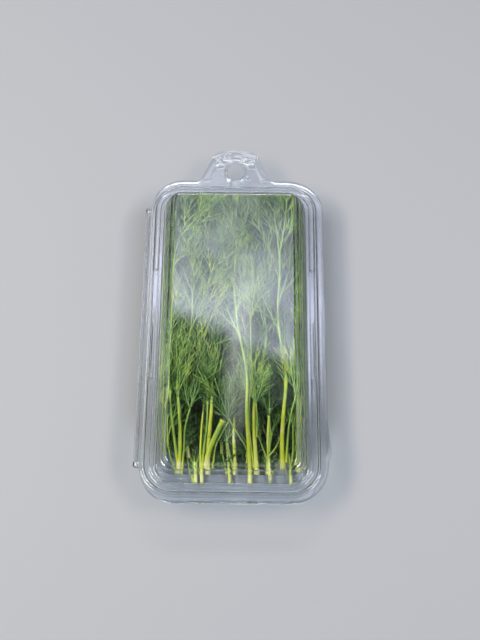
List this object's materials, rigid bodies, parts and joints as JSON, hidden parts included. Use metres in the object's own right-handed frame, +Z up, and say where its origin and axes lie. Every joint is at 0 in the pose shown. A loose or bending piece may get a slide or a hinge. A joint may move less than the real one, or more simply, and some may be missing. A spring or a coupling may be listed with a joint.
{
  "type": "dill bunch in a clear hinged pack",
  "caption": "Bunch of cut dill sprigs lying in a clear formed plastic pack with a stepped lid, a folding hinge along one long side and a hang tab at the far end",
  "frame": {"origin": "middle of the pack's flange rectangle, on the surface that its flat base rests on", "axes": "+Y runs along the pack from the cut stems to the hang tab, +X from the hinge fold to the free long edge, +Z up"},
  "size_m": [0.1055, 0.222, 0.0327],
  "materials": {
    "clear_sheet": "gloss",
    "dill": "satin"
  },
  "bodies": {
    "base": {"tray": "clear_sheet", "sprig_01": "dill", "sprig_02": "dill", "sprig_03": "dill", "sprig_04": "dill", "sprig_05": "dill", "sprig_06": "dill", "sprig_07": "dill", "sprig_08": "dill", "sprig_09": "dill", "sprig_10": "dill", "sprig_11": "dill", "sprig_12": "dill", "sprig_13": "dill", "sprig_14": "dill", "sprig_15": "dill", "sprig_16": "dill", "sprig_17": "dill", "sprig_18": "dill", "sprig_19": "dill", "sprig_20": "dill"},
    "lid": {"lid": "clear_sheet"}
  },
  "joints": [
    {"name": "lid_hinge", "type": "hinge", "parent": "base", "child": "lid", "pos_m": [-0.052, 0, 0.0176], "axis": [0, -1, 0], "range_deg": [0, 180]}
  ]
}
